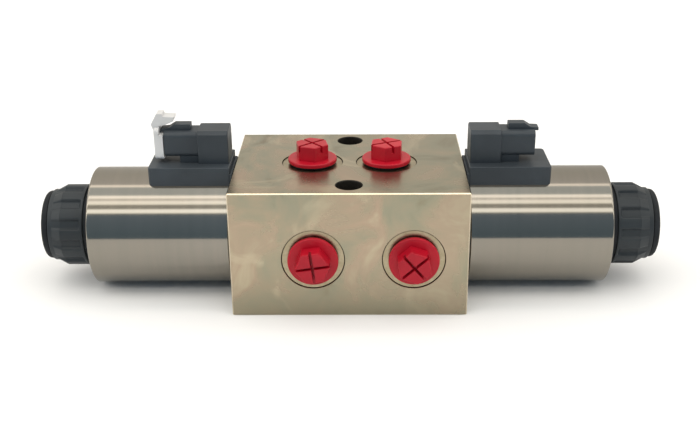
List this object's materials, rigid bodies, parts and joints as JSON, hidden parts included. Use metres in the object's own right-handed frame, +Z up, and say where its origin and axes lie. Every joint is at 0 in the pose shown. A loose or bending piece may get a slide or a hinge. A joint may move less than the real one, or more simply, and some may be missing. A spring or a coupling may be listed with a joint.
{
  "type": "solenoid directional valve",
  "caption": "Plated steel block valve with screw-plugged ports in its front and top faces and, at each end, a push solenoid with a steel-cased coil, plug connector and fluted lock nut.",
  "frame": {"origin": "centre of the valve block's flat underside, midway between the two solenoids", "axes": "+X along the spool towards the solenoid whose connector is open, +Z up out of the top ports, +Y towards the back, away from the face with the front ports"},
  "size_m": [0.2706, 0.0838, 0.0791],
  "materials": {
    "plated_steel": "satin zinc-nickel plating, warm beige-grey",
    "turned_steel": "fine turned lines round the axis, semi-gloss",
    "plain_steel": "machined",
    "spring_steel": "drawn wire",
    "copper_wire": "enamelled winding",
    "contact_brass": "bright",
    "black_plastic": "satin, very dark slate grey",
    "black_rubber": "matte black",
    "red_plastic": "slightly glossy bright red",
    "white_plastic": "satin light grey-white"
  },
  "bodies": {
    "valve": {"valve_body": "plated_steel", "gallery_plug_back": "plain_steel", "gallery_plug_end": "plain_steel", "core_tube_left": "plain_steel", "tube_seal_left": "black_rubber", "tube_plug_left": "plain_steel", "override_seal_left": "black_rubber", "centring_spring_left": "spring_steel", "override_spring_left": "spring_steel", "core_tube_right": "plain_steel", "tube_seal_right": "black_rubber", "tube_plug_right": "plain_steel", "override_seal_right": "black_rubber", "centring_spring_right": "spring_steel", "override_spring_right": "spring_steel"},
    "spool": {"spool": "plain_steel", "spring_seat_left": "plain_steel", "spring_seat_right": "plain_steel"},
    "armature_left": {"armature_left": "plain_steel", "push_pin_left": "plain_steel"},
    "override_left": {"override_pin_left": "plain_steel"},
    "coil_left": {"coil_shell_left": "turned_steel", "coil_end_plate_left": "plain_steel", "coil_bobbin_left": "black_plastic", "coil_winding_left": "copper_wire", "connector_housing_left": "black_plastic", "contact_pin_1_left": "contact_brass", "contact_pin_2_left": "contact_brass"},
    "nut_seal_left": {"nut_seal_left": "black_rubber"},
    "lock_nut_left": {"lock_nut_left": "black_plastic", "override_boot_left": "black_rubber"},
    "armature_right": {"armature_right": "plain_steel", "push_pin_right": "plain_steel"},
    "override_right": {"override_pin_right": "plain_steel"},
    "coil_right": {"coil_shell_right": "turned_steel", "coil_end_plate_right": "plain_steel", "coil_bobbin_right": "black_plastic", "coil_winding_right": "copper_wire", "connector_housing_right": "black_plastic", "contact_pin_1_right": "contact_brass", "contact_pin_2_right": "contact_brass"},
    "nut_seal_right": {"nut_seal_right": "black_rubber"},
    "lock_nut_right": {"lock_nut_right": "black_plastic", "override_boot_right": "black_rubber"},
    "connector_cap": {"connector_cap": "white_plastic"},
    "plug_seal_front_left": {"plug_seal_front_left": "black_rubber"},
    "port_plug_front_left": {"port_plug_front_left": "red_plastic"},
    "plug_seal_front_right": {"plug_seal_front_right": "black_rubber"},
    "port_plug_front_right": {"port_plug_front_right": "red_plastic"},
    "plug_seal_top_left": {"plug_seal_top_left": "black_rubber"},
    "port_plug_top_left": {"port_plug_top_left": "red_plastic"},
    "plug_seal_top_right": {"plug_seal_top_right": "black_rubber"},
    "port_plug_top_right": {"port_plug_top_right": "red_plastic"}
  },
  "joints": [
    {"name": "spool_shift", "type": "slide", "parent": "valve", "child": "spool", "axis": [1, 0, 0], "range_m": [-0.003, 0.003], "stiffness_N_per_m": 8000, "deforming": ["centring_spring_left", "centring_spring_right"]},
    {"name": "armature_left_shift", "type": "slide", "parent": "valve", "child": "armature_left", "axis": [1, 0, 0], "range_m": [-0.003, 0.003]},
    {"name": "override_left_push", "type": "slide", "parent": "valve", "child": "override_left", "axis": [1, 0, 0], "range_m": [0, 0.003], "stiffness_N_per_m": 600, "springref_m": -0.002, "deforming": ["override_spring_left"]},
    {"name": "coil_left_swivel", "type": "hinge", "parent": "valve", "child": "coil_left", "pos_m": [0, 0, 0.0265], "axis": [1, 0, 0], "range_deg": [-90, 90]},
    {"name": "lock_nut_left_travel", "type": "slide", "parent": "valve", "child": "nut_seal_left", "axis": [-1, 0, 0], "range_m": [0, 0.0105]},
    {"name": "lock_nut_left_turn", "type": "hinge", "parent": "nut_seal_left", "child": "lock_nut_left", "pos_m": [0, 0, 0.0265], "axis": [-1, 0, 0], "range_deg": [0, 2521]},
    {"name": "armature_right_shift", "type": "slide", "parent": "valve", "child": "armature_right", "axis": [1, 0, 0], "range_m": [-0.003, 0.003]},
    {"name": "override_right_push", "type": "slide", "parent": "valve", "child": "override_right", "axis": [-1, 0, 0], "range_m": [0, 0.003], "stiffness_N_per_m": 600, "springref_m": -0.002, "deforming": ["override_spring_right"]},
    {"name": "coil_right_swivel", "type": "hinge", "parent": "valve", "child": "coil_right", "pos_m": [0, 0, 0.0265], "axis": [1, 0, 0], "range_deg": [-90, 90]},
    {"name": "lock_nut_right_travel", "type": "slide", "parent": "valve", "child": "nut_seal_right", "axis": [1, 0, 0], "range_m": [0, 0.0105]},
    {"name": "lock_nut_right_turn", "type": "hinge", "parent": "nut_seal_right", "child": "lock_nut_right", "pos_m": [0, 0, 0.0265], "axis": [1, 0, 0], "range_deg": [0, 2521]},
    {"name": "connector_cap_pull", "type": "slide", "parent": "coil_left", "child": "connector_cap", "axis": [-1, 0, 0], "range_m": [0, 0.064]},
    {"name": "port_plug_front_left_travel", "type": "slide", "parent": "valve", "child": "plug_seal_front_left", "axis": [0, -1, 0], "range_m": [0, 0.01203]},
    {"name": "port_plug_front_left_turn", "type": "hinge", "parent": "plug_seal_front_left", "child": "port_plug_front_left", "pos_m": [-0.0151, -0.0375, 0.0262], "axis": [0, -1, 0], "range_deg": [0, 3241]},
    {"name": "port_plug_front_right_travel", "type": "slide", "parent": "valve", "child": "plug_seal_front_right", "axis": [0, -1, 0], "range_m": [0, 0.01203]},
    {"name": "port_plug_front_right_turn", "type": "hinge", "parent": "plug_seal_front_right", "child": "port_plug_front_right", "pos_m": [0.02705, -0.0375, 0.0262], "axis": [0, -1, 0], "range_deg": [0, 3241]},
    {"name": "port_plug_top_left_travel", "type": "slide", "parent": "valve", "child": "plug_seal_top_left", "axis": [0, 0, 1], "range_m": [0, 0.01203]},
    {"name": "port_plug_top_left_turn", "type": "hinge", "parent": "plug_seal_top_left", "child": "port_plug_top_left", "pos_m": [-0.0162, 0, 0.056], "axis": [0, 0, 1], "range_deg": [0, 3241]},
    {"name": "port_plug_top_right_travel", "type": "slide", "parent": "valve", "child": "plug_seal_top_right", "axis": [0, 0, 1], "range_m": [0, 0.01203]},
    {"name": "port_plug_top_right_turn", "type": "hinge", "parent": "plug_seal_top_right", "child": "port_plug_top_right", "pos_m": [0.0162, 0, 0.056], "axis": [0, 0, 1], "range_deg": [0, 3241]}
  ],
  "couplings": [
    {"joint": "armature_left_shift", "follows": "spool_shift", "ratio": 1},
    {"joint": "lock_nut_left_turn", "follows": "lock_nut_left_travel", "rad_per_m": 4188.8},
    {"joint": "armature_right_shift", "follows": "spool_shift", "ratio": 1},
    {"joint": "lock_nut_right_turn", "follows": "lock_nut_right_travel", "rad_per_m": 4188.8},
    {"joint": "port_plug_front_left_turn", "follows": "port_plug_front_left_travel", "rad_per_m": 4699.5},
    {"joint": "port_plug_front_right_turn", "follows": "port_plug_front_right_travel", "rad_per_m": 4699.5},
    {"joint": "port_plug_top_left_turn", "follows": "port_plug_top_left_travel", "rad_per_m": 4699.5},
    {"joint": "port_plug_top_right_turn", "follows": "port_plug_top_right_travel", "rad_per_m": 4699.5}
  ]
}
